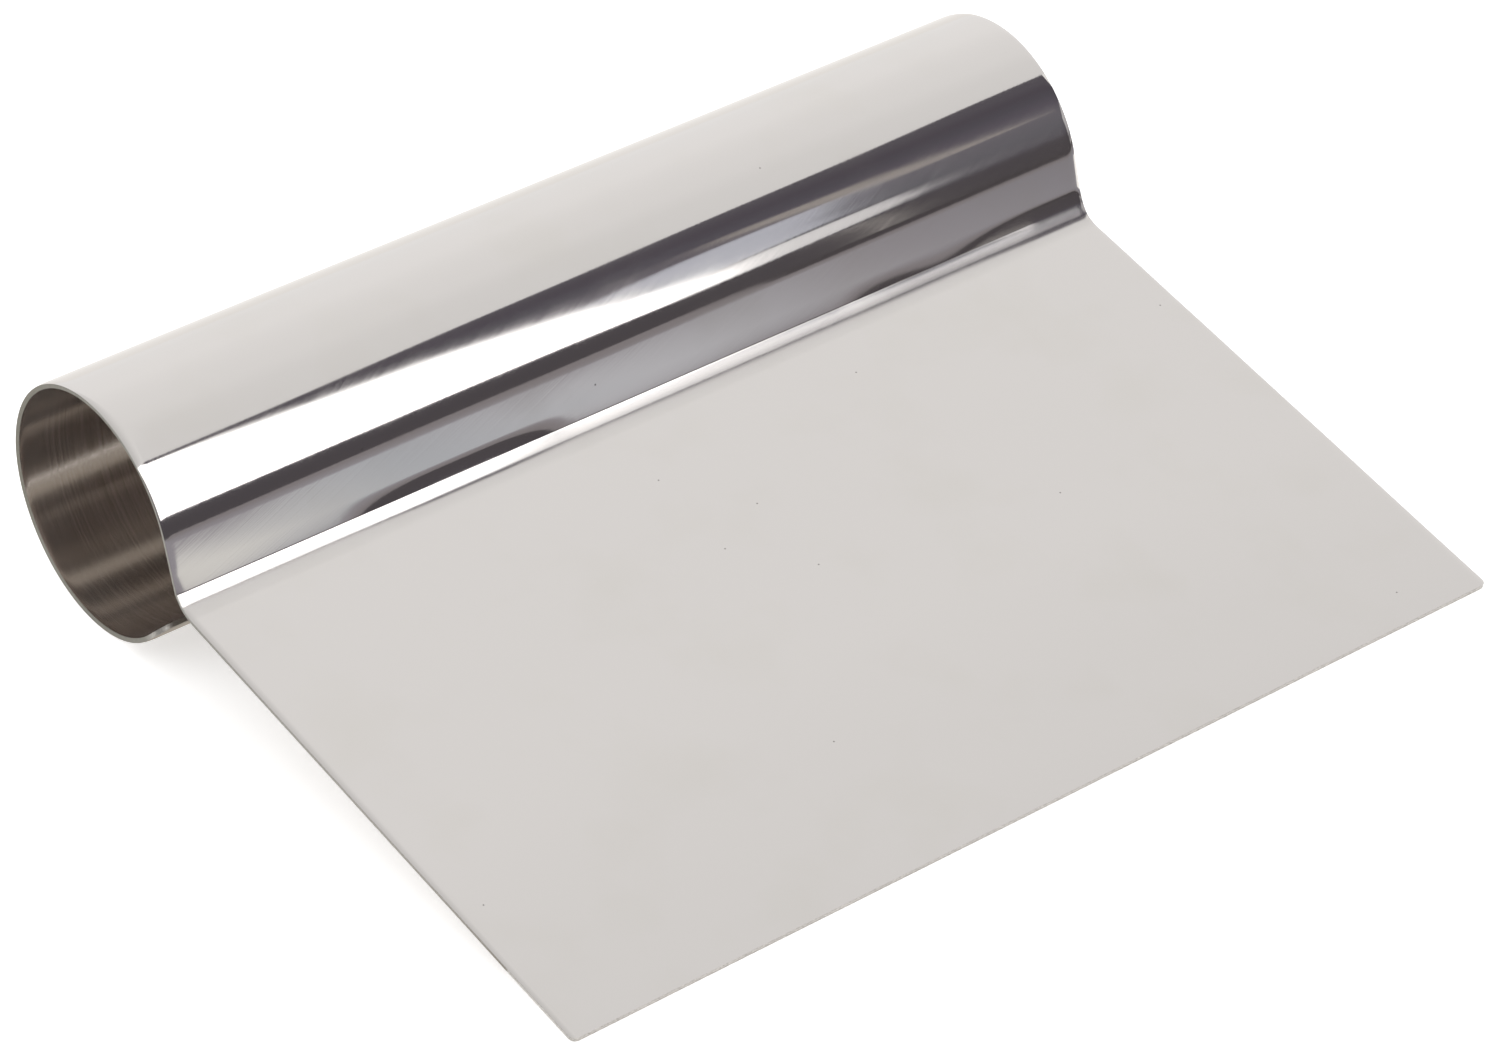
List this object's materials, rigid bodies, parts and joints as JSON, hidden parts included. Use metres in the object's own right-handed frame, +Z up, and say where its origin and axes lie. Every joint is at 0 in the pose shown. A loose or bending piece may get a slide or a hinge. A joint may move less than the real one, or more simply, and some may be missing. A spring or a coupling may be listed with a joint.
{
  "type": "dough scraper",
  "caption": "Flat rectangular steel blade that bends up into an open rolled tube handle, for scraping, lifting and cutting dough.",
  "frame": {"origin": "centre of the footprint on the table, under the blade, as the tool lies on its handle and its scraping edge", "axes": "+X along the handle, -Y towards the scraping edge, +Z up from the table"},
  "size_m": [0.15, 0.1184, 0.0353],
  "materials": {
    "polished_steel": "polished"
  },
  "bodies": {
    "root": {"blade": "polished_steel", "root_bend": "polished_steel", "handle_roll": "polished_steel"}
  },
  "joints": []
}
